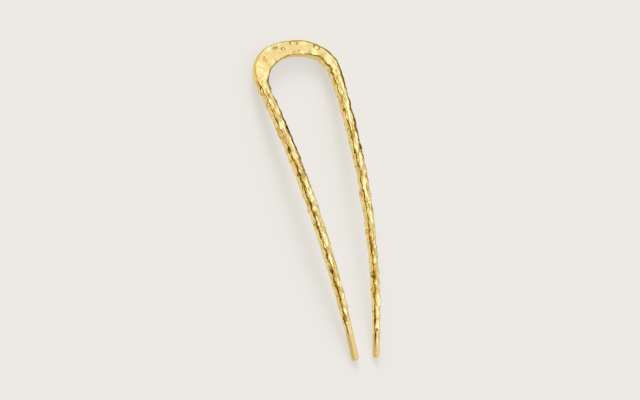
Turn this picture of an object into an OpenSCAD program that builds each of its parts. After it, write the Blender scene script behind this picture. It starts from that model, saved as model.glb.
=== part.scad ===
/* [Bar] */
// Length of the pin laid flat, from the crown's outer edge to the tips
flat_len = 120; // [100:1:140]
// Width of the bar at the middle of the crown
crown_w = 5.6; // [4.4:0.1:7]
// Width of the bar where it is spread over the shoulders
shoulder_w = 6.1; // [4.6:0.1:7.5]
// Width of the bar where the prongs begin
neck_w = 4.5; // [3.6:0.1:5.6]
// Width of the prongs near half their length
prong_w = 3.8; // [3.2:0.1:4.8]
// Width of the prongs near the end of the hammering
low_w = 3.1; // [2.6:0.1:3.8]
// Width of the plain rounded tips
tip_w = 2.6; // [2:0.05:3]
// Thickness of the bar in the crown and the prongs
bar_t = 2.75; // [2.3:0.05:3.4]
// Thickness of the tips
tip_t = 2.35; // [1.9:0.05:3]

/* [Bends] */
// Radius of the shallow curve over the crown
crown_r = 24.4; // [20:0.1:30]
// Turn of that curve on each side of the middle, degrees
crown_turn = 17.7; // [12:0.1:22]
// Radius of each shoulder
shoulder_r = 11.85; // [10:0.05:14]
// Turn of each shoulder, degrees
shoulder_turn = 76.4; // [73:0.1:78]
// Radius of the slight outward sweep of the prongs
prong_r = 1420; // [1000:10:4000]
// Radius of the bow that follows the shape of a head
bow_r = 193; // [160:1:400]

/* [Hammering] */
// Depth of a usual blow below the plain bar
blow_depth = 0.14; // [0.04:0.01:0.18]
// Hollow of a blow, its rise one millimetre from its middle
blow_hollow = 0.03; // [0.01:0.005:0.05]
// Most that a blow on a face leans sideways, degrees
blow_lean = 9; // [0:1:12]
// Most that a blow on a face slopes along the bar
blow_slope = 0.05; // [0:0.01:0.08]

/* [Hidden] */

sides = 24;         // points round the bar
ring_gap = 1.22;    // distance between two rings along the bar
end_rings = 5;      // rings that round off a tip
end_round = 1.15;   // length of the rounding of a tip

// The bar was bent by hand, so its two halves differ a little.
// Columns: half, added to crown_r, added to shoulder_r, prong_r times this
HALVES = [
  [-1, 1.1, 0.78, 0.87],
  [1, -1.1, -0.78, 1.17],
];

// Section of the bar by distance from the middle of the crown.
// Columns: distance, width, more on the left, more on the right, thickness, squareness
BAR = [
  [0, crown_w, 0, 0, bar_t, 8],
  [13, shoulder_w, 0.5, -0.2, bar_t, 9],
  [26, neck_w, 0, 0, bar_t, 12],
  [55, prong_w, 0.1, -0.1, bar_t, 12],
  [90, low_w, 0.25, -0.25, bar_t - 0.1, 9],
  [106, (low_w + tip_w) / 2 + 0.1, 0.25, -0.1, (bar_t + tip_t) / 2, 5],
  [118, tip_w, 0.15, 0, tip_t, 2.3],
];

// Rows of blows. Direction is 0 outwards, 90 up, 180 inwards, 270 down;
// places are measured from the middle of the crown, left is minus.
// Columns: direction, from, to, spacing, then times the usual: depth, lean, slope,
// hollow; last the roundness of the hammer face and a seed
ROWS = [
  [90, -20, 21, 4.4, 1.1, 1.3, 1.8, 0.8, 1.03, 1],
  [88, -116, -19, 3.3, 1.2, 1.1, 2.6, 2.4, 1.2, 2],
  [95, 20, 119, 3.2, 1.2, 1.1, 2.6, 2.4, 1.2, 4],
  [270, -110, 110, 5, 1, 0.8, 0.8, 1.2, 1, 6],
  [0, -22, 20, 6.2, 0.7, 0.6, 0.6, 0.8, 1, 7],
  [-6, -112, -22, 4.1, 0.7, 1.2, 1.4, 1.8, 1.2, 8],
  [14, -113, -19, 3.8, 3.4, 1.6, 2.6, 4.2, 1.1, 9],
  [2, 20, 114, 4.2, 1.1, 1.2, 1.2, 1.8, 1.2, 10],
  [180, -22, 22, 5.4, 0.7, 0.6, 0.6, 0.8, 1, 11],
  [180, -112, -22, 4.6, 1.1, 1.2, 1.2, 1.6, 1.2, 12],
  [166, 10, 112, 3.8, 3, 1.6, 2.6, 4.2, 1.1, 13],
  [186, 24, 114, 4.4, 0.7, 1, 1.2, 1.6, 1.2, 14],
  [40, 9, 60, 4.1, 1.7, 1.2, 1.6, 2.2, 1, 17],
  [44, 60, 100, 5.4, 1, 1.2, 1.6, 2, 1, 18],
  [71, 9, 60, 4.3, 2.2, 0.6, 1.2, 0.8, 1, 25],
  [72, 60, 100, 5.7, 0.4, 0.6, 1.2, 1, 1, 26],
  [140, -60, -20, 4.1, 1.8, 1.2, 1.6, 2.2, 1, 19],
  [138, -100, -60, 5.6, 1, 1.2, 1.6, 2, 1, 20],
  [109, -60, -20, 4.4, 1.9, 0.6, 1.2, 0.9, 1, 27],
  [108, -100, -60, 5.5, 0.3, 0.6, 1.2, 1, 1, 28],
  [314, -96, 96, 6, 0.5, 1.4, 1, 1.2, 1, 23],
  [226, -96, 96, 6.4, 0.5, 1.4, 1, 1.2, 1, 24],
];

// Single blows that stand out.
// Columns: place, direction, depth, slope, hollow, roundness
MARKS = [
  [-27.4, 176, 0.85, 0, 0.12, 1.2],
  [30.6, 4, 0.75, 0, 0.12, 1.2],
  [36.4, 4, 0.45, 0, 0.12, 1.2],
  [-22.6, 128, 0.42, 0, 0.12, 2],
  [-35.4, 96, 0.34, 0, 0.4, 6],
  [-38.9, 66, 0.3, 0.02, 0.12, 4],
  [-47.5, 74, 0.34, 0.05, 0.2, 4],
  [-53.6, 92, 0.34, 0.05, 0.2, 4],
  [-64, 86, 0.3, 0, 0.3, 5],
  [-82, 72, 0.34, 0, 0.4, 5],
  [-102.4, 58, 0.34, 0, 0.22, 3],
  [-107.6, 58, 0.3, 0, 0.2, 3],
  [-113.4, 62, 0.28, 0, 0.2, 3],
  [11.6, 68, 0.34, 0, 0.15, 1.2],
  [17.3, 68, 0.3, 0, 0.18, 1.2],
  [29.2, 70, 0.42, 0, 0.3, 2],
  [37.2, 150, 0.3, 0, 0.3, 3],
  [44.8, 68, 0.46, 0, 0.35, 2],
  [54.8, 118, 0.3, 0, 0.3, 4],
  [71.2, 88, 0.36, 0.1, 0.3, 3],
  [117, 118, 0.36, 0.05, 0.2, 2.5],
];

// Small dints of a pointed tool in the upper face.
// Columns: place, towards the outer edge, half length, half width, depth
DINTS = [
  [3, 1.5, 2, 0.85, 0.12],
  [10.9, 1.5, 1.2, 1, 0.1],
  [3.4, -1.7, 0.45, 0.3, 0.1],
  [-3, -0.1, 1, 0.8, 0.1],
  [-5.9, 1.2, 1.2, 0.6, 0.1],
  [-12.4, 0.3, 0.35, 1.15, 0.12],
];

// Even chance between -0.5 and 0.5, the same at every build
function chance(i, seed) =
  let (v = sin(73.1 * i + 47.7 * seed) * 997)
  v - floor(v) - 0.5;

// The half of the bar that holds a place
function half(s) = s < 0 ? HALVES[0] : HALVES[1];

// Lengths of the crown curve and of the shoulder in one half
function crown_run(q) = (crown_r + q[1]) * crown_turn * PI / 180;
function shoulder_run(q) = (shoulder_r + q[2]) * shoulder_turn * PI / 180;

// Direction of the bar at the start of its prong
full_turn = crown_turn + shoulder_turn;
tip_y = crown_w / 2 - flat_len;

// Height of the bar's middle line at the start of the prong
function prong_y(q) =
  let (rc = crown_r + q[1], rs = shoulder_r + q[2])
  -rc * (1 - cos(crown_turn)) + rs * (cos(full_turn) - cos(crown_turn));

// Length of the bar from the middle of the crown to a tip
function half_run(q) =
  let (r = prong_r * q[3])
  let (last = acos(cos(full_turn) + (tip_y - prong_y(q)) / r))
  crown_run(q) + shoulder_run(q) + (last - full_turn) * r * PI / 180;

// Middle line of the flat pin: x, y and the angle turned through
function line_at(s) =
  let (q = half(s), d = abs(s))
  let (rc = crown_r + q[1], rs = shoulder_r + q[2], rp = prong_r * q[3])
  let (a = min(d, crown_run(q)))
  let (b = min(max(d - crown_run(q), 0), shoulder_run(q)))
  let (c = max(d - crown_run(q) - shoulder_run(q), 0))
  let (h1 = a / rc * 180 / PI)
  let (h2 = h1 + b / rs * 180 / PI)
  let (h3 = h2 + c / rp * 180 / PI)
  let (x = rc * sin(h1) + rs * (sin(h2) - sin(h1)) + rp * (sin(h3) - sin(h2)))
  let (y = rc * (cos(h1) - 1) + rs * (cos(h2) - cos(h1)) + rp * (cos(h3) - cos(h2)))
  [q[0] * x, y, h3 * q[0]];

// Half width, half thickness and squareness of the plain bar
function bar_at(s) =
  let (d = abs(s), more = s < 0 ? 2 : 3)
  let (w = lookup(d, [for (r = BAR) [r[0], r[1] + r[more]]]))
  let (t = lookup(d, [for (r = BAR) [r[0], r[4]]]))
  [w / 2, t / 2, lookup(d, [for (r = BAR) [r[0], r[5]]])];

// Every blow as place, direction, depth, slope, hollow and roundness
row_blows = [
  for (r = ROWS)
    for (i = [0:floor((r[2] - r[1]) / r[3]) - 1])
      [
        r[1] + (i + 0.5 + 0.55 * chance(i, r[9])) * r[3],
        r[0] + 2 * blow_lean * r[5] * chance(i, r[9] + 0.3),
        blow_depth * r[4] * (1 + 1.2 * chance(i, r[9] + 0.6)),
        2 * blow_slope * r[6] * chance(i, r[9] + 0.9),
        blow_hollow * r[7] * (1 + 0.8 * chance(i, r[9] + 0.45)),
        r[8],
      ]
];
blows = concat(row_blows, MARKS);

// Reach of the plain bar in a direction, and its distance to a tangent plane
function plain_reach(b, th) =
  pow(pow(abs(cos(th)) / b[0], b[2]) + pow(abs(sin(th)) / b[1], b[2]), -1 / b[2]);
function plain_plane(b, th) =
  let (m = b[2] / (b[2] - 1))
  pow(pow(b[0] * abs(cos(th)), m) + pow(b[1] * abs(sin(th)), m), 1 / m);

// Reach of one blow, far away where it faces another way
function blow_reach(b, k, s, th) =
  let (c = cos(th - k[1]), d = s - k[0])
  c < 0.2 ? 99 : (plain_plane(b, k[1]) - k[2] + k[3] * d + k[4] * d * d) / pow(c, k[5]);

// Depth of the dints at a point of the upper face
function dint_at(s, a) =
  max([
    for (k = DINTS)
      k[4] * min(1, 2.5 * (1 - pow((s - k[0]) / k[2], 2) - pow((a - k[1]) / k[3], 2)))
  ]);

// Point of the hammered section: outwards and up from the middle line.
// No blow goes deeper than half of the plain bar.
function section_point(s, near, b, th) =
  let (plain = plain_reach(b, th))
  let (struck = min(concat([plain], [for (k = near) blow_reach(b, k, s, th)])))
  let (r = max(struck, 0.45 * plain))
  let (a = r * cos(th), z = r * sin(th))
  [a, z > 0 ? z - max(0, dint_at(s, a)) : z];

// Place of a section point once the bar is bent in the flat and then bowed
mid_y = tip_y / 2;
function bent(s, p) =
  let (c = line_at(s))
  let (x = c[0] + p[0] * sin(c[2]), y = c[1] + p[0] * cos(c[2]))
  let (w = (y - mid_y) / bow_r * 180 / PI)
  [x, mid_y + (bow_r + p[1]) * sin(w), (bow_r + p[1]) * cos(w) - bow_r];

// One ring of points, drawn in by `size` where a tip is rounded
function ring(s, size) =
  let (b = bar_at(s), near = [for (k = blows) if (abs(k[0] - s) < 7) k])
  [
    for (j = [0:sides - 1])
      let (u = 360 * j / sides)
      let (th = atan2(b[1] * sin(u), b[0] * cos(u)))
      bent(s, size * section_point(s, near, b, th))
  ];

// Stations along the bar with the size of each ring
run_l = half_run(HALVES[0]);
run_r = half_run(HALVES[1]);
count = round((run_l + run_r - 2 * end_round) / ring_gap);
step = (run_l + run_r - 2 * end_round) / count;
function drawn_in(i) = end_round * (1 - sin(90 * i / end_rings));
function closed_up(i) = cos(90 * i / end_rings);
stations = concat(
  [for (i = [end_rings - 1:-1:1]) [-run_l + drawn_in(i), closed_up(i)]],
  [for (i = [0:count]) [-run_l + end_round + i * step, 1]],
  [for (i = [1:end_rings - 1]) [run_r - drawn_in(i), closed_up(i)]]
);
rings = [for (t = stations) ring(t[0], t[1])];
loose = concat([for (r = rings) each r], [bent(-run_l, [0, 0]), bent(run_r, [0, 0])]);

// The pin is turned until it rests on its crown and its tips, then centred
function lowest(pts) = let (z = min([for (p = pts) p[2]])) [for (p = pts) if (p[2] == z) p][0];
foot_a = lowest([for (p = loose) if (p[1] > mid_y) p]);
foot_b = lowest([for (p = loose) if (p[1] < mid_y) p]);
rest_turn = -atan2(foot_a[2] - foot_b[2], foot_a[1] - foot_b[1]);
rested = [
  for (p = loose)
    [
      p[0],
      p[1] * cos(rest_turn) - p[2] * sin(rest_turn),
      p[1] * sin(rest_turn) + p[2] * cos(rest_turn),
    ]
];
function low(i) = min([for (p = rested) p[i]]);
function high(i) = max([for (p = rested) p[i]]);
shift = [-(low(0) + high(0)) / 2, -(low(1) + high(1)) / 2, -low(2)];
points = [for (p = rested) p + shift];

// Two triangles between neighbours of two rings, a fan over each tip
last = len(rings) - 1;
skin = [
  for (i = [0:last - 1])
    for (j = [0:sides - 1])
      let (a = i * sides + j, b = i * sides + (j + 1) % sides)
      each [[a, b + sides, b], [a, a + sides, b + sides]]
];
fans = [
  for (j = [0:sides - 1])
    let (k = (j + 1) % sides)
    each [
      [len(points) - 2, j, k],
      [len(points) - 1, last * sides + k, last * sides + j],
    ]
];

// One hammered bar bent into a crown and two prongs
module hair_pin() {
  color("gold")
    polyhedron(points = points, faces = concat(skin, fans), convexity = 8);
}

hair_pin();
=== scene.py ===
"""Looks for the hammered french hair pin: the plated bar, the table it lies on, light and camera."""

import math
from functools import partial

import bpy
from mathutils import Euler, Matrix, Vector


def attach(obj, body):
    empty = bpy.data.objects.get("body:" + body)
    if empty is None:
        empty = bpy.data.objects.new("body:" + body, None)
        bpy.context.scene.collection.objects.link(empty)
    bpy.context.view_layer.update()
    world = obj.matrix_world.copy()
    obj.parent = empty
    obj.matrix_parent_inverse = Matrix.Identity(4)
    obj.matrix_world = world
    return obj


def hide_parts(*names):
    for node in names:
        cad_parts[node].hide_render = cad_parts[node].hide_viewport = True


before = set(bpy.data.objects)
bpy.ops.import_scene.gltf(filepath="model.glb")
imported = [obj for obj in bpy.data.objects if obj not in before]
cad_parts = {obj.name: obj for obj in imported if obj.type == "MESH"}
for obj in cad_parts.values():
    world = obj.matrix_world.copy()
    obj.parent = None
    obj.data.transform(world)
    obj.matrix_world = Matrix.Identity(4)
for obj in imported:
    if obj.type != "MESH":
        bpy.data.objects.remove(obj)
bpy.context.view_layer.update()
scene = bpy.context.scene
scene.view_settings.view_transform = "Standard"


# Camera
# A long lens looks down on the pin from beyond its left prong, a little
# towards the tips, and is rolled so that the crown leans to the left.
frame_width = 0.2287  # metres of table across the picture, at the pin
sensor_width = 36.0
camera_distance = 5.5
camera_turn = Euler((math.radians(16.419), math.radians(-29.998), math.radians(-16.565)), "XYZ")
looked_at = Vector((-0.004879, -0.000289, 0.005922))

camera_data = bpy.data.cameras.new("camera")
camera_data.sensor_width = sensor_width
camera_data.lens = sensor_width * camera_distance / frame_width
camera_data.clip_start = 0.1
camera_data.clip_end = 20.0
camera = bpy.data.objects.new("camera", camera_data)
camera.rotation_euler = camera_turn
camera.location = looked_at + camera_turn.to_matrix() @ Vector((0, 0, camera_distance))
scene.collection.objects.link(camera)
scene.camera = camera


# Hair pin
# One bar of brass, hammered on every face, bent into a U in the flat and then
# bowed to follow the head, with its tips left plain and rounded. It is plated
# with gold and polished last. All sizes are in millimetres until the end.
flat_length = 120.0
crown_width, shoulder_width, neck_width = 5.6, 6.1, 4.5
prong_width, low_width, tip_width = 3.8, 3.1, 2.6
bar_thickness, tip_thickness = 2.75, 2.35
crown_radius, crown_turn = 24.4, 17.7
shoulder_radius, shoulder_turn = 11.85, 76.4
prong_radius, bow_radius = 1420.0, 193.0
blow_depth, blow_hollow, blow_lean, blow_slope = 0.14, 0.03, 9.0, 0.05
rest_turn = 0.567
shift_across, shift_along = 0.85, 57.10

# half, added to the crown radius, added to the shoulder radius, prong radius times this
halves = {"left": (-1, 1.1, 0.78, 0.87), "right": (1, -1.1, -0.78, 1.17)}

# distance from the crown's middle, width, more on the left, more on the right, thickness, squareness
bar_sections = [
    (0, crown_width, 0, 0, bar_thickness, 8),
    (13, shoulder_width, 0.5, -0.2, bar_thickness, 9),
    (26, neck_width, 0, 0, bar_thickness, 12),
    (55, prong_width, 0.1, -0.1, bar_thickness, 12),
    (90, low_width, 0.25, -0.25, bar_thickness - 0.1, 9),
    (106, (low_width + tip_width) / 2 + 0.1, 0.25, -0.1, (bar_thickness + tip_thickness) / 2, 5),
    (118, tip_width, 0.15, 0, tip_thickness, 2.3),
]

# direction (0 outwards, 90 up, 180 inwards, 270 down), from, to, spacing, and times
# the usual: depth, lean, slope, hollow; then roundness of the hammer face and a seed
blow_rows = [
    (90, -20, 21, 4.4, 1.1, 1.3, 1.8, 0.8, 1.03, 1),
    (88, -116, -19, 3.3, 1.2, 1.1, 2.6, 2.4, 1.2, 2),
    (95, 20, 119, 3.2, 1.2, 1.1, 2.6, 2.4, 1.2, 4),
    (270, -110, 110, 5, 1, 0.8, 0.8, 1.2, 1, 6),
    (0, -22, 20, 6.2, 0.7, 0.6, 0.6, 0.8, 1, 7),
    (-6, -112, -22, 4.1, 0.7, 1.2, 1.4, 1.8, 1.2, 8),
    (14, -113, -19, 3.8, 3.4, 1.6, 2.6, 4.2, 1.1, 9),
    (2, 20, 114, 4.2, 1.1, 1.2, 1.2, 1.8, 1.2, 10),
    (180, -22, 22, 5.4, 0.7, 0.6, 0.6, 0.8, 1, 11),
    (180, -112, -22, 4.6, 1.1, 1.2, 1.2, 1.6, 1.2, 12),
    (166, 10, 112, 3.8, 3.0, 1.6, 2.6, 4.2, 1.1, 13),
    (186, 24, 114, 4.4, 0.7, 1, 1.2, 1.6, 1.2, 14),
    (40, 9, 60, 4.1, 1.7, 1.2, 1.6, 2.2, 1, 17),
    (44, 60, 100, 5.4, 1, 1.2, 1.6, 2, 1, 18),
    (71, 9, 60, 4.3, 2.2, 0.6, 1.2, 0.8, 1, 25),
    (72, 60, 100, 5.7, 0.4, 0.6, 1.2, 1.0, 1, 26),
    (140, -60, -20, 4.1, 1.8, 1.2, 1.6, 2.2, 1, 19),
    (138, -100, -60, 5.6, 1, 1.2, 1.6, 2, 1, 20),
    (109, -60, -20, 4.4, 1.9, 0.6, 1.2, 0.9, 1, 27),
    (108, -100, -60, 5.5, 0.3, 0.6, 1.2, 1.0, 1, 28),
    (314, -96, 96, 6, 0.5, 1.4, 1, 1.2, 1, 23),
    (226, -96, 96, 6.4, 0.5, 1.4, 1, 1.2, 1, 24),
]

# place, direction, depth, slope, hollow, roundness
single_blows = [
    (-27.4, 176, 0.85, 0, 0.12, 1.2),
    (30.6, 4, 0.75, 0, 0.12, 1.2),
    (36.4, 4, 0.45, 0, 0.12, 1.2),
    (-22.6, 136, 0.5, 0, 0.12, 1.5),
    (-9.4, 86, 0.14, 0, 0.05, 1.03),
    (-16.8, 87, 0.16, 0, 0.05, 1.03),
    (-35.4, 96, 0.34, 0, 0.4, 6),
    (-38.9, 66, 0.30, 0.02, 0.12, 4),
    (-47.5, 74, 0.34, 0.05, 0.2, 4),
    (-53.6, 78, 0.34, 0.05, 0.25, 1.5),
    (-61, 76, 0.34, 0, 0.3, 1.4),
    (-82, 72, 0.34, 0, 0.4, 5),
    (-102.4, 58, 0.34, 0, 0.22, 3),
    (-107.6, 58, 0.30, 0, 0.2, 3),
    (-113.4, 62, 0.28, 0, 0.2, 3),
    (11.6, 68, 0.34, 0, 0.15, 1.2),
    (17.3, 68, 0.30, 0, 0.18, 1.2),
    (29.2, 70, 0.42, 0, 0.3, 2),
    (37.2, 150, 0.3, 0, 0.3, 3),
    (44.8, 68, 0.46, 0, 0.35, 2),
    (54.8, 118, 0.3, 0, 0.3, 4),
    (71.2, 88, 0.36, 0.1, 0.3, 3),
    (-71.5, 77, 0.32, 0, 0.3, 1.4),
    (-77, 77, 0.32, 0, 0.3, 1.4),
    (-89.5, 77, 0.3, 0, 0.3, 1.4),
    (64, 103, 0.32, 0, 0.3, 1.4),
    (68.3, 103, 0.32, 0, 0.3, 1.4),
    (77.4, 102, 0.3, 0, 0.3, 1.4),
    (84.6, 102, 0.3, 0, 0.3, 1.4),
    (117, 118, 0.36, 0.05, 0.2, 2.5),
]

# place, towards the outer edge, half length, half width, depth, tilt of the floor
dints = [
    (2.2, 1.5, 1.8, 0.85, 0.15, 0.9),
    (10.6, 1.0, 1.25, 1.0, 0.13, 0.9),
    (3.4, -1.7, 0.6, 0.33, 0.10, 0.3),
    (-3.0, -0.1, 1.0, 0.75, 0.095, 0.5),
    (-5.9, 1.2, 1.1, 0.7, 0.085, 0.3),
    (-12.2, 0.3, 0.32, 1.15, 0.12, 0.2),
    (-13.2, 0.1, 0.28, 1.0, 0.10, 0.2),
]


def chance(number, seed):
    """Even chance between -0.5 and 0.5, the same at every build."""
    v = math.sin(math.radians(73.1 * number + 47.7 * seed)) * 997
    return v - math.floor(v) - 0.5


struck = []
for direction, start, stop, spacing, depth, lean, slope, hollow, roundness, seed in blow_rows:
    for i in range(math.floor((stop - start) / spacing)):
        struck.append((
            start + (i + 0.5 + 0.55 * chance(i, seed)) * spacing,
            direction + 2 * blow_lean * lean * chance(i, seed + 0.3),
            blow_depth * depth * (1 + 1.2 * chance(i, seed + 0.6)),
            2 * blow_slope * slope * chance(i, seed + 0.9),
            blow_hollow * hollow * (1 + 0.8 * chance(i, seed + 0.45)),
            roundness,
        ))
struck += single_blows

# Each blow and each dint is a point that carries its six numbers into the node tree.
strike_columns = ("place", "aim", "depth", "slope", "hollow", "roundness")
strike_list = bpy.data.meshes.new("strikes")
strike_list.from_pydata([(0, 0, 0)] * (len(struck) + len(dints)), [], [])
for column, name in enumerate(strike_columns):
    attribute = strike_list.attributes.new(name, "FLOAT", "POINT")
    attribute.data.foreach_set("value", [strike[column] for strike in struck + dints])

tree = bpy.data.node_groups.new("hammered bar", "GeometryNodeTree")
tree.interface.new_socket("Geometry", in_out="OUTPUT", socket_type="NodeSocketGeometry")
tree.interface.new_socket("Strikes", in_out="INPUT", socket_type="NodeSocketGeometry")
bar_inputs = {
    "Blows": len(struck),
    "Dints": len(dints),
    "Rings": 1000,
    "Sides": 96,
    "Crowding of sides on top": 0.5,
    "Flat length": flat_length,
    "Crown width": crown_width,
    "Crown radius": crown_radius,
    "Crown turn": math.radians(crown_turn),
    "Shoulder radius": shoulder_radius,
    "Shoulder turn": math.radians(shoulder_turn),
    "Prong radius": prong_radius,
    "Bow radius": bow_radius,
    "Rest turn": math.radians(rest_turn),
    "Shift across": shift_across,
    "Shift along": shift_along,
    "Tip rounding": 1.15,
    "Rings in a tip": 14,
    "Facet softness": 0.02,
    "Edge softness": 0.045,
    "Seam depth": 0.07,
    "Seam width": 0.5,
    "Seam inset": 0.1,
    "Pit depth on top": 0.22,
    "Pit depth on sides": 0.42,
    "Pit size": 2.2,
    "Small pit depth": 0.055,
    "Small pit size": 1.25,
}
for name, value in bar_inputs.items():
    kind = "NodeSocketInt" if isinstance(value, int) else "NodeSocketFloat"
    tree.interface.new_socket(name, in_out="INPUT", socket_type=kind).default_value = value
given = tree.nodes.new("NodeGroupInput").outputs


def give(place, value):
    """Sets an input to a plain value, or links it to the output of another node."""
    if isinstance(value, bpy.types.NodeSocket):
        place.id_data.links.new(value, place)
    else:
        place.default_value = value


def node_in(nodes, kind, settings={}, **values):
    """Adds a node, with its settings and the values or links of its named inputs."""
    made = nodes.new(kind)
    for key, value in settings.items():
        setattr(made, key, value)
    for key, value in values.items():
        give(made.inputs[key.replace("_", " ")], value)
    return made


def calc_in(nodes, operation, *terms, clamp=False):
    """Adds one step of arithmetic on outputs or plain numbers."""
    made = node_in(nodes, "ShaderNodeMath", {"operation": operation, "use_clamp": clamp})
    for place, term in zip(made.inputs, terms):
        give(place, term)
    return made.outputs[0]


def carry_in(nodes, value, start, stop, low=0, high=1, smooth=True):
    """Carries a number from one range over to another, level beyond both ends."""
    way = "SMOOTHSTEP" if smooth else "LINEAR"
    made = node_in(nodes, "ShaderNodeMapRange", {"interpolation_type": way}, Value=value,
                   From_Min=start, From_Max=stop, To_Min=low, To_Max=high)
    return made.outputs["Result"]


node, calc, carry = (partial(tool, tree.nodes) for tool in (node_in, calc_in, carry_in))


def add(*terms):
    total = terms[0]
    for term in terms[1:]:
        total = calc("ADD", total, term)
    return total


def times(*terms):
    total = terms[0]
    for term in terms[1:]:
        total = calc("MULTIPLY", total, term)
    return total


def less(a, b):
    return calc("SUBTRACT", a, b)


def over(a, b):
    return calc("DIVIDE", a, b)


def held(value, low, high):
    """A number kept between two others."""
    return calc("MINIMUM", calc("MAXIMUM", value, low), high)


def pick(test, when_true, when_false):
    """One of two numbers, by a test that is 0 or 1."""
    return add(times(test, when_true), times(less(1, test), when_false))


def kept(name):
    """Reads a number that an earlier step kept on the points."""
    made = node("GeometryNodeInputNamedAttribute", {"data_type": "FLOAT"}, Name=name)
    return made.outputs["Attribute"]


def keep(geometry, name, value):
    """Keeps a number on every point of the bar."""
    made = node("GeometryNodeStoreNamedAttribute", {"data_type": "FLOAT", "domain": "POINT"},
                Geometry=geometry, Name=name, Value=value)
    return made.outputs["Geometry"]


# The grid runs along the bar in X and round it in Y.
rings, sides = given["Rings"], given["Sides"]
grid = node("GeometryNodeMeshGrid", Size_X=1.0, Size_Y=1.0,
            Vertices_X=add(rings, 1), Vertices_Y=add(sides, 1))
spot = node("ShaderNodeSeparateXYZ", Vector=node("GeometryNodeInputPosition").outputs[0])
ring_number = calc("ROUND", times(add(spot.outputs["X"], 0.5), rings))
even_turn = times(calc("ROUND", times(add(spot.outputs["Y"], 0.5), sides)), over(2 * math.pi, sides))
round_angle = add(even_turn, times(given["Crowding of sides on top"], calc("COSINE", even_turn)))
bar = keep(grid.outputs["Mesh"], "ring", ring_number)
bar = keep(bar, "turn", round_angle)

# Lengths of the crown curve, the shoulder and the prong in the half that a ring is in.
on_left = calc("LESS_THAN", kept("ring"), times(rings, 0.5))
side, more_crown, more_shoulder, prong_share = (
    pick(on_left, left, right) for left, right in zip(halves["left"], halves["right"]))
crown_bend = add(given["Crown radius"], more_crown)
shoulder_bend = add(given["Shoulder radius"], more_shoulder)
prong_bend = times(given["Prong radius"], prong_share)
crown_end = given["Crown turn"]
shoulder_end = add(crown_end, given["Shoulder turn"])
cos_crown, cos_shoulder = calc("COSINE", crown_end), calc("COSINE", shoulder_end)
crown_run = times(crown_bend, crown_end)
shoulder_run = times(shoulder_bend, given["Shoulder turn"])
tip_y = less(times(given["Crown width"], 0.5), given["Flat length"])
prong_y = add(times(crown_bend, less(cos_crown, 1)), times(shoulder_bend, less(cos_shoulder, cos_crown)))
prong_end = calc("ARCCOSINE", add(cos_shoulder, over(less(tip_y, prong_y), prong_bend)))
half_run = add(crown_run, shoulder_run, times(less(prong_end, shoulder_end), prong_bend))

# Rings stand evenly along the bar and close up over the rounding of each tip.
from_end = calc("MINIMUM", kept("ring"), less(rings, kept("ring")))
in_tip = times(calc("MINIMUM", over(from_end, given["Rings in a tip"]), 1), math.pi / 2)
past_tip = calc("MAXIMUM", less(from_end, given["Rings in a tip"]), 0)
ring_step = over(less(half_run, given["Tip rounding"]), less(times(rings, 0.5), given["Rings in a tip"]))
from_tip = add(times(given["Tip rounding"], less(1, calc("COSINE", in_tip))), times(past_tip, ring_step))
bar = keep(bar, "distance", calc("MAXIMUM", less(half_run, from_tip), 0))
bar = keep(bar, "size", calc("SINE", in_tip))
bar = keep(bar, "side", side)
distance = kept("distance")
bar = keep(bar, "along", times(distance, kept("side")))
left_half = calc("LESS_THAN", kept("side"), 0)
right_half = calc("GREATER_THAN", kept("side"), 0)


def along_bar(sizes, sizes_on_right=None):
    """A size of the bar by distance from the crown, straight from one section to the next."""
    total = sizes[0]
    for low, high, a, b in zip(bar_sections, bar_sections[1:], sizes, sizes[1:]):
        total = add(carry(distance, low[0], high[0], 0, b - a, smooth=False), total)
    if sizes_on_right is None:
        return total
    return pick(left_half, total, along_bar(sizes_on_right))


# The plain section is a squarish ring; each face also has the reach of its own flat plane.
widths_on_left = [section[1] + section[2] for section in bar_sections]
widths_on_right = [section[1] + section[3] for section in bar_sections]
bar = keep(bar, "half width", times(0.5, along_bar(widths_on_left, widths_on_right)))
bar = keep(bar, "half thick", times(0.5, along_bar([section[4] for section in bar_sections])))
bar = keep(bar, "square", along_bar([section[5] for section in bar_sections]))
half_width, half_thick, squareness = kept("half width"), kept("half thick"), kept("square")
bar = keep(bar, "angle", calc("ARCTAN2", times(half_thick, calc("SINE", kept("turn"))),
                              times(half_width, calc("COSINE", kept("turn")))))
angle = kept("angle")
outwards, upwards = calc("COSINE", angle), calc("SINE", angle)
plain_reach = calc("POWER", add(
    calc("POWER", over(calc("ABSOLUTE", outwards), half_width), squareness),
    calc("POWER", over(calc("ABSOLUTE", upwards), half_thick), squareness),
), over(-1, squareness))
bar = keep(bar, "plain reach", plain_reach)
edge_on = 0.02  # least cosine to a face, so that its plane stays within reach
faces = {
    "upper face": over(half_thick, calc("MAXIMUM", upwards, edge_on)),
    "side faces": over(half_width, calc("MAXIMUM", calc("ABSOLUTE", outwards), edge_on)),
    "under face": over(half_thick, calc("MAXIMUM", times(-1, upwards), edge_on)),
}
for name, flat_face in faces.items():
    bar = keep(bar, name, flat_face)


def repeat(count, geometry):
    """Opens a repeat zone over the bar; returns its turn number, its geometry and how to close it."""
    zone_in = tree.nodes.new("GeometryNodeRepeatInput")
    zone_out = tree.nodes.new("GeometryNodeRepeatOutput")
    zone_in.pair_with_output(zone_out)
    give(zone_in.inputs["Iterations"], count)
    give(zone_in.inputs["Geometry"], geometry)

    def close(inner):
        give(zone_out.inputs["Geometry"], inner)
        return zone_out.outputs["Geometry"]

    return zone_in.outputs["Iteration"], zone_in.outputs["Geometry"], close


def strike_numbers(index):
    """The six numbers of one strike."""
    for name in strike_columns:
        yield node("GeometryNodeSampleIndex", {"data_type": "FLOAT", "domain": "POINT"},
                   Geometry=given["Strikes"], Value=kept(name), Index=index).outputs["Value"]


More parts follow.
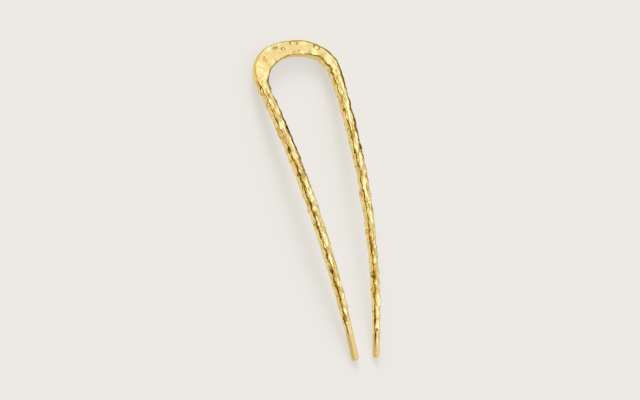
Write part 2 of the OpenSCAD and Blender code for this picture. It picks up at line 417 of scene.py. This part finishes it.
# Every blow cuts one face of the bar back to a slightly hollow plane square to its aim.
glancing = 0.2  # least cosine between a blow's aim and the metal that it reaches
squarely = 0.82  # least sine of an aim at the upper or the under face
out_of_reach = 99
turn_no, struck_bar, close_blows = repeat(given["Blows"], bar)
place, aim, depth, slope, hollow, roundness = strike_numbers(turn_no)
aim = times(aim, math.pi / 180)
dual = over(squareness, less(squareness, 1))
plane = calc("POWER", add(
    calc("POWER", times(half_width, calc("ABSOLUTE", calc("COSINE", aim))), dual),
    calc("POWER", times(half_thick, calc("ABSOLUTE", calc("SINE", aim))), dual),
), over(1, dual))
off = less(kept("along"), place)
faced = calc("COSINE", less(angle, aim))
blow_reach = over(add(less(plane, depth), times(slope, off), times(hollow, off, off)),
                  calc("POWER", calc("MAXIMUM", faced, glancing), roundness))
blow_reach = add(blow_reach, times(calc("LESS_THAN", faced, glancing), out_of_reach))
from_above = calc("GREATER_THAN", calc("SINE", aim), squarely)
from_below = calc("LESS_THAN", calc("SINE", aim), -squarely)
for name, meant in (("upper face", from_above), ("under face", from_below),
                    ("side faces", less(1, add(from_above, from_below)))):
    met = add(blow_reach, times(less(1, meant), out_of_reach))
    struck_bar = keep(struck_bar, name, calc("SMOOTH_MIN", kept(name), met, given["Facet softness"]))
bar = close_blows(struck_bar)
bar = keep(bar, "seam", less(kept("side faces"), kept("upper face")))

# The crown is polished smoother than the prongs, and the tips are left plain.
# Each range reads: from one distance to another, from one level to another.
hammering_starts = (14, 24, 0, 1)
plain_begins = (121.5, 116.5, 0, 1)
crown_hammering = 0.25
plain_later, plain_sooner_on_left = 2.6, 4.8
hammered = carry(distance, *hammering_starts)
past_hammering = add(less(distance, plain_later), times(plain_sooner_on_left, left_half))
short_of_tip = carry(past_hammering, *plain_begins)
bar = keep(bar, "hammered", times(add(crown_hammering, times(1 - crown_hammering, hammered)), short_of_tip))
bar = keep(bar, "polished", short_of_tip)

# Painted shade: a dark line standing in for the shade and dark reflections of the edge lies along
# the seam between the upper face and the sides. For the plating to read, the bar carries how wide the line
# is, how far from the seam, how strong and how black.
painted_line_starts = (3, 8, 0, 1)
line_spreads = (30, 60, 0.75, 1.25)
line_widens_on_right = (72, 92, 0, 1.5)
line_widens_on_left = (42, 52, 0, 0.8)
shoulder_line_place, shoulder_line = 19, (3, 9, 1.1, 0)
outer_line_wider, least_line = 0.15, 0.8
inset_facing_left, inset_on_right, inset_on_left = 0.1, 0.4, 0.2
right_edges_clear, clear_later_on_left = (40, 64, 1, 0.12), 8
# How black the painted shade along the edges gets, by distance, by half and by the way the edge faces.
black_shade_grows_on_left = (24, 52, 0.25, 1.9)
black_shade_thins, thins_sooner_on_right = (78, 98, 1, 0.42), 12
black_shade_on_right, black_shade_facing_right = 0.9, 4.0

from_crown = carry(distance, *painted_line_starts)
faces_left = calc("LESS_THAN", times(kept("side"), outwards), 0)
at_shoulder = carry(calc("ABSOLUTE", less(distance, shoulder_line_place)), *shoulder_line)
wider_outside = add(1, times(outer_line_wider, right_half, calc("GREATER_THAN", outwards, 0)))
line_width = add(
    times(at_shoulder, right_half, calc("LESS_THAN", outwards, 0)),
    times(carry(distance, *line_spreads, smooth=False), wider_outside),
    times(right_half, carry(distance, *line_widens_on_right, smooth=False)),
    times(less(1, right_half), carry(distance, *line_widens_on_left, smooth=False)),
)
bar = keep(bar, "line width", line_width)
inset_facing_right = pick(right_half, inset_on_right, inset_on_left)
bar = keep(bar, "line inset", pick(faces_left, inset_facing_left, inset_facing_right))
past_right_edges = less(distance, times(clear_later_on_left, less(1, right_half)))
edge_share = calc("MAXIMUM", faces_left, carry(past_right_edges, *right_edges_clear))
bar = keep(bar, "edge share", edge_share)
lined = calc("MAXIMUM", calc("MAXIMUM", hammered, least_line), times(right_half, from_crown))
bar = keep(bar, "lined", times(lined, short_of_tip, edge_share))
past_black_shade = add(distance, times(thins_sooner_on_right, right_half))
black_shade_by_half = pick(right_half, times(black_shade_on_right, from_crown), carry(distance, *black_shade_grows_on_left))
black_shade_facing_left = times(carry(past_black_shade, *black_shade_thins), black_shade_by_half)
bar = keep(bar, "soot", pick(faces_left, black_shade_facing_left, black_shade_facing_right))

# Small pits of the hammer's polish cover the prongs; a fold runs where the upper face was
# beaten over the sides.
pit_crowding = 1.5  # pits stand closer together round the bar than along it
pit_level = 0.45  # square of the share of a pit's size at which the metal stays as it was
pits_change = (-0.2, 0.3)  # from the side faces to the upper face, by the seam
beaten = calc("SMOOTH_MIN", calc("MINIMUM", kept("plain reach"), kept("upper face")),
              calc("MINIMUM", kept("side faces"), kept("under face")), given["Edge softness"])
spread = node("ShaderNodeCombineXYZ", X=kept("along"), Y=times(pit_crowding, beaten, outwards),
              Z=times(pit_crowding, beaten, upwards)).outputs[0]


def pitted(depth, size):
    """Shallow round pits, each running up to a ridge at its neighbours."""
    cells = node("ShaderNodeTexVoronoi", {"feature": "F1", "voronoi_dimensions": "3D"}, Vector=spread,
                 Scale=over(1, size), Randomness=1.0)
    from_pit = cells.outputs["Distance"]
    return times(depth, less(pit_level, times(from_pit, from_pit)))


pit_depth = carry(kept("seam"), *pits_change, given["Pit depth on sides"], given["Pit depth on top"])
pit = add(pitted(pit_depth, given["Pit size"]), pitted(given["Small pit depth"], given["Small pit size"]))
fold = carry(calc("ABSOLUTE", less(kept("seam"), given["Seam inset"])), 0, given["Seam width"], 1, 0)
beaten = less(beaten, times(kept("hammered"), pit))
beaten = less(beaten, times(kept("hammered"), given["Seam depth"], fold, kept("edge share")))
bar = keep(bar, "reach", beaten)

# Over the crown the upper face hangs a little over the inner wall.
overhang_place, overhang = -4, (5, 17, 0.7, 0)
across = times(kept("reach"), outwards)
height = times(kept("reach"), upwards)
inner_share = held(over(times(-1, across), half_width), 0, 1)
top_share = held(add(0.5, over(times(0.5, height), half_thick)), 0, 1)
hung_over = carry(calc("ABSOLUTE", less(kept("along"), overhang_place)), *overhang)
bar = keep(bar, "across", less(across, times(hung_over, inner_share, top_share)))
bar = keep(bar, "height", height)
bar = keep(bar, "dint", 0.0)

# Dints of a pointed tool sink the upper face further.
dint_wall = 2.5  # steepness of a dint's wall
turn_no, struck_bar, close_dints = repeat(given["Dints"], bar)
place, offset, half_long, half_wide, sink, tilt = strike_numbers(add(turn_no, given["Blows"]))
off_along = over(less(kept("along"), place), half_long)
off_across = over(less(kept("across"), offset), half_wide)
from_middle = add(times(off_along, off_along), times(off_across, off_across))
inside = held(times(dint_wall, less(1, from_middle)), 0, 1)
floor = times(sink, less(1, times(tilt, off_along)), inside)
bar = close_dints(keep(struck_bar, "dint", calc("MAXIMUM", kept("dint"), floor)))
above = calc("GREATER_THAN", kept("height"), 0)
bar = keep(bar, "height", less(kept("height"), times(kept("dint"), above)))

# The straight bar is bent in the flat, bowed over its length and scaled to metres.
past_crown = less(distance, crown_run)
turn_1 = over(calc("MINIMUM", distance, crown_run), crown_bend)
turn_2 = add(turn_1, over(held(past_crown, 0, shoulder_run), shoulder_bend))
turn_3 = add(turn_2, over(calc("MAXIMUM", less(past_crown, shoulder_run), 0), prong_bend))
sin_1, sin_2, sin_3 = (calc("SINE", turned) for turned in (turn_1, turn_2, turn_3))
cos_1, cos_2, cos_3 = (calc("COSINE", turned) for turned in (turn_1, turn_2, turn_3))
line_x = add(times(crown_bend, sin_1), times(shoulder_bend, less(sin_2, sin_1)),
             times(prong_bend, less(sin_3, sin_2)))
line_y = add(times(crown_bend, less(cos_1, 1)), times(shoulder_bend, less(cos_2, cos_1)),
             times(prong_bend, less(cos_3, cos_2)))
out = times(kept("across"), kept("size"))
up = times(kept("height"), kept("size"))
flat_x = times(kept("side"), add(line_x, times(out, sin_3)))
flat_y = add(line_y, times(out, cos_3))
middle_y = times(tip_y, 0.5)
swing = over(less(flat_y, middle_y), given["Bow radius"])
bowed = add(given["Bow radius"], up)
bent = node("ShaderNodeCombineXYZ", X=flat_x, Y=add(middle_y, times(bowed, calc("SINE", swing))),
            Z=less(times(bowed, calc("COSINE", swing)), given["Bow radius"]))
bar = node("GeometryNodeSetPosition", Geometry=bar, Position=bent.outputs[0]).outputs[0]
tipped = node("ShaderNodeCombineXYZ", X=given["Rest turn"]).outputs[0]
bar = node("GeometryNodeTransform", Geometry=bar, Rotation=tipped).outputs[0]
box = node("GeometryNodeBoundBox", Geometry=bar)
low = node("ShaderNodeSeparateXYZ", Vector=box.outputs["Min"])
centred = node("ShaderNodeCombineXYZ", X=given["Shift across"], Y=given["Shift along"],
               Z=times(-1, low.outputs["Z"]))
bar = node("GeometryNodeTransform", Geometry=bar, Translation=centred.outputs[0]).outputs[0]
bar = node("GeometryNodeTransform", Geometry=bar, Scale=(0.001, 0.001, 0.001)).outputs[0]
bar = node("GeometryNodeMergeByDistance", Geometry=bar, Distance=0.000002).outputs[0]
bar = keep(bar, "sunk", add(less(kept("plain reach"), kept("reach")), kept("dint")))
bar = node("GeometryNodeSetShadeSmooth", Geometry=bar, Shade_Smooth=True).outputs[0]
bar = node("GeometryNodeRealizeInstances", Geometry=bar).outputs[0]

# Gold plating over brass: a pale yellow metal, glossy with a fine grain where it was
# polished, deeper in colour where the blows are deepest, and satin on the plain tips.
rosy_gold = (1.0, 0.745, 0.37, 1)
green_gold = (0.94, 0.82, 0.34, 1)
deep_gold = (0.86, 0.72, 0.50, 1)
tip_gold = (0.97, 0.83, 0.44, 1)
# The tan is painted darker reflection, laid in patches on the side faces.
painted_reflection_tan = (0.72, 0.585, 0.25, 1)
# The brown and the black are painted shade and dark reflection along the seam and the dint rims.
brown_painted_shade = (0.38, 0.22, 0.01, 1)
black_painted_shade = (0.050, 0.020, 0.0005, 1)
sheen = (1.0, 0.78, 0.36, 1)
tip_roughness = 0.72
plating = bpy.data.materials.new("polished gold plating")
plating.use_nodes = True
plating.node_tree.nodes.clear()


def blend_in(nodes, how, share, first, second):
    """Adds a mix of two colours by a share."""
    made = node_in(nodes, "ShaderNodeMix", {"data_type": "RGBA", "blend_type": how}, Factor=share)
    # A Mix node's colours are its inputs 6 and 7 and its output 2.
    give(made.inputs[6], first)
    give(made.inputs[7], second)
    return made.outputs[2]


paint, reckon, shade, blend = (
    partial(tool, plating.node_tree.nodes) for tool in (node_in, calc_in, carry_in, blend_in))
where = paint("ShaderNodeTexCoord").outputs["Object"]


def noise(scale, detail, roughness=0.5, distortion=0.0):
    """Soft spots over the metal, so many to the metre."""
    made = paint("ShaderNodeTexNoise", Vector=where, Scale=scale, Detail=detail, Roughness=roughness,
                 Distortion=distortion)
    return made.outputs["Fac"]


def read(name):
    """Reads a number that the points of the bar carry."""
    return paint("ShaderNodeAttribute", {"attribute_name": name}).outputs["Fac"]


# The gold itself, greener and rosier in clouds, deeper in the hollows, with tan patches of painted darker
# reflection on the sides.
tint = paint("ShaderNodeValToRGB", Fac=noise(160.0, 3.0, 0.55))
for stop, position, colour in zip(tint.color_ramp.elements, (0.3, 0.7), (rosy_gold, green_gold)):
    stop.position = position
    stop.color = colour
warm = blend("MULTIPLY", shade(read("sunk"), 0.3, 0.8, smooth=False), tint.outputs["Color"], deep_gold)
off_top = shade(read("seam"), 0.15, -0.15, 0.25, 1)
# Tan patches of painted reflection, kept off the upper face.
painted_reflection_patches = reckon("MULTIPLY", shade(noise(520.0, 2.0, distortion=0.6), 0.5, 0.66), off_top)
painted_reflection_patches = reckon("MULTIPLY", painted_reflection_patches, read("hammered"))
bare_gold = blend("MIX", read("polished"), tip_gold, warm)
bare_gold = blend("MULTIPLY", painted_reflection_patches, bare_gold, painted_reflection_tan)

# Painted shade: a dark brown line along the seam and round the rim of each dint stands in for shade and
# dark reflections, black in its core.
line_unevenness = shade(noise(330.0, 3.0, 0.6), 0.40, 0.62, 0.35, 1.2, smooth=False)
from_line = reckon("ABSOLUTE", reckon("SUBTRACT", read("seam"), read("line inset")))
near_line = reckon("DIVIDE", from_line, reckon("MULTIPLY", line_unevenness, read("line width")), clamp=True)
line = reckon("MULTIPLY", shade(near_line, 0, 1, 1, 0), read("lined"))
dint_rim_shade = reckon("MULTIPLY", shade(read("dint"), 0, 0.03), shade(read("dint"), 0.06, 0.11, 0.95, 0.1))
painted_shade_share = reckon("MAXIMUM", line, dint_rim_shade)
# Black spots of painted shade in the core of the line, where the metal gives way to the dark colour.
black_shade_spots = reckon("MULTIPLY", shade(noise(780.0, 2.0), 0.44, 0.54), read("soot"), clamp=True)
black_shade = reckon("MULTIPLY", black_shade_spots, shade(near_line, 0.25, 0.7, 1, 0))
painted_shade_colour = blend("MIX", black_shade, brown_painted_shade, black_painted_shade)
metal = reckon("SUBTRACT", 1.0, reckon("MULTIPLY", black_shade, painted_shade_share), clamp=True)

# The polish, with a fine grain and a slow ripple.
grain = noise(1500.0, 4.0, 0.6)
gloss = shade(grain, 0.3, 0.7, 0.08, 0.16, smooth=False)
satin = paint("ShaderNodeMix", {"data_type": "FLOAT"}, Factor=read("polished"), A=tip_roughness, B=gloss)
fine = paint("ShaderNodeBump", Strength=0.5, Distance=0.00001, Height=grain)
broad = paint("ShaderNodeBump", Strength=0.5, Distance=0.00004, Height=noise(620.0, 2.0),
              Normal=fine.outputs["Normal"])
gold = paint("ShaderNodeBsdfPrincipled", Base_Color=blend("MIX", painted_shade_share, bare_gold, painted_shade_colour),
             Roughness=satin.outputs[0], Normal=broad.outputs["Normal"], Metallic=metal,
             Specular_IOR_Level=0.0, Specular_Tint=sheen)
paint("ShaderNodeOutputMaterial", Surface=gold.outputs["BSDF"])

bar = node("GeometryNodeSetMaterial", Geometry=bar, Material=plating).outputs[0]
node("NodeGroupOutput", Geometry=bar)

blank = bpy.data.objects.new("pin strikes", strike_list)
scene.collection.objects.link(blank)
hammering = blank.modifiers.new("hammered bar", "NODES")
hammering.node_group = tree
for item in tree.interface.items_tree:
    if item.in_out == "INPUT" and item.name in bar_inputs:
        hammering[item.identifier] = bar_inputs[item.name]
ready = blank.evaluated_get(bpy.context.evaluated_depsgraph_get())
pin_mesh = bpy.data.meshes.new_from_object(ready)
pin_mesh.name = "pin"
bpy.data.objects.remove(blank)
pin = bpy.data.objects.new("pin", pin_mesh)
scene.collection.objects.link(pin)
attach(pin, "root")
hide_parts("hair_pin")


# Table
# A plain pale light table of matt plastic, lit a little from below, wide
# enough to fill every view.
table_half = 8
table_glow = 0.575
corners = [(x * table_half, y * table_half, 0) for x, y in ((-1, -1), (1, -1), (1, 1), (-1, 1))]
table_mesh = bpy.data.meshes.new("table")
table_mesh.from_pydata(corners, [], [(0, 1, 2, 3)])
table = bpy.data.objects.new("table", table_mesh)
scene.collection.objects.link(table)
pale = bpy.data.materials.new("pale matt table")
pale.use_nodes = True
board = pale.node_tree.nodes["Principled BSDF"]
board.inputs["Base Color"].default_value = (0.20, 0.20, 0.193, 1)
board.inputs["Emission Color"].default_value = (1.0, 0.976, 0.914, 1)
board.inputs["Emission Strength"].default_value = table_glow
board.inputs["Roughness"].default_value = 0.9
board.inputs["Specular IOR Level"].default_value = 0.0
table_mesh.materials.append(pale)


# Light
# A studio that is bright overhead, with one narrow tube light, dark on the
# camera's side and on the far right, with a pale low wall. Two small lamps
# and a soft key lamp stand round it, the key low beyond the crown.
studio_strength = 1.85
low_wall_colour = (0.46, 0.447, 0.42, 1)

# Levels from the left to the right, then from the tips' end to the crown's, then from below
# upwards. Each stands at the cosine to that direction, as a grey or a colour.
screens = [
    (-1, (0.10, 0.07, 0.02)), (-0.9, (0.07, 0.045, 0.010)), (-0.55, (0.09, 0.06, 0.015)),
    (-0.4, (0.20, 0.15, 0.06)), (-0.22, 0.62), (0.0, (0.85, 0.81, 0.92)), (0.04, (0.88, 0.83, 0.95)),
    (0.08, (2.1, 2.0, 2.0)), (0.12, (0.91, 0.86, 1.0)), (0.3, (0.86, 0.82, 0.94)), (0.42, 0.60),
    (0.54, 0.485), (0.64, (0.45, 0.415, 0.33)), (0.72, (0.37, 0.315, 0.17)), (0.80, (0.22, 0.165, 0.05)),
    (0.88, (0.06, 0.04, 0.01)), (1, (0.02, 0.015, 0.008)),
]
ribs = [
    (-1, 0.4), (-0.85, 0.5), (-0.62, 0.68), (-0.48, 0.95), (-0.36, 0.62), (-0.24, 1.05), (-0.1, 0.68),
    (0.04, 1.1), (0.16, 0.66), (0.28, 1.1), (0.4, 0.8), (0.5, 1.15), (0.6, 0.92), (0.7, 1.25), (0.85, 0.8),
    (1, 0.45),
]
low_wall = [(-1, 1.0), (0.03, 1.0), (0.06, 0.0)]

# direction of a small lamp, and its levels by the cosine to it
small_lamps = [
    ((0.92, -0.3, 0.3), [(0.86, 0.0), (0.95, (0.30, 0.25, 0.13)), (1, (0.42, 0.36, 0.2))]),
    ((-0.45, 0.87, 0.15), [(0.88, 0.0), (0.95, (0.30, 0.30, 0.28)), (1, (0.42, 0.42, 0.40))]),
]

studio = bpy.data.worlds.new("studio")
studio.use_nodes = True
scene.world = studio
studio.node_tree.nodes.clear()
air, mist = (partial(tool, studio.node_tree.nodes) for tool in (node_in, blend_in))
look = air("ShaderNodeTexCoord").outputs["Generated"]


def towards(direction, stops):
    """The level of the air by how nearly a direction is faced: pairs of cosine and level."""
    facing = air("ShaderNodeVectorMath", {"operation": "DOT_PRODUCT"})
    give(facing.inputs[0], look)
    give(facing.inputs[1], Vector(direction).normalized())
    share = air("ShaderNodeMapRange", Value=facing.outputs["Value"], From_Min=-1)
    ramp = air("ShaderNodeValToRGB", Fac=share.outputs["Result"])
    while len(ramp.color_ramp.elements) < len(stops):
        ramp.color_ramp.elements.new(0.5)
    for element, (cosine, level) in zip(ramp.color_ramp.elements, stops):
        element.position = (cosine + 1) / 2
        element.color = level + (1,) if isinstance(level, tuple) else (level, level, level, 1)
    return ramp.outputs["Color"]


surroundings = mist("MULTIPLY", 1.0, towards((1, 0, 0), screens), towards((0, 1, 0), ribs))
for direction, stops in small_lamps:
    surroundings = mist("ADD", 1.0, surroundings, towards(direction, stops))
surroundings = mist("MIX", towards((0, 0, 1), low_wall), surroundings, low_wall_colour)
backdrop = air("ShaderNodeBackground", Color=surroundings, Strength=studio_strength)
air("ShaderNodeOutputWorld", Surface=backdrop.outputs[0])

# The key lamp gives the soft shadow and isn't mirrored in the metal.
key_data = bpy.data.lights.new("key", "SUN")
key_data.energy = 3.2
key_data.angle = math.radians(30)
key = bpy.data.objects.new("key", key_data)
key.rotation_euler = Vector((-0.05, 0.87, 0.48)).to_track_quat("Z", "Y").to_euler()
key.visible_glossy = False
scene.collection.objects.link(key)
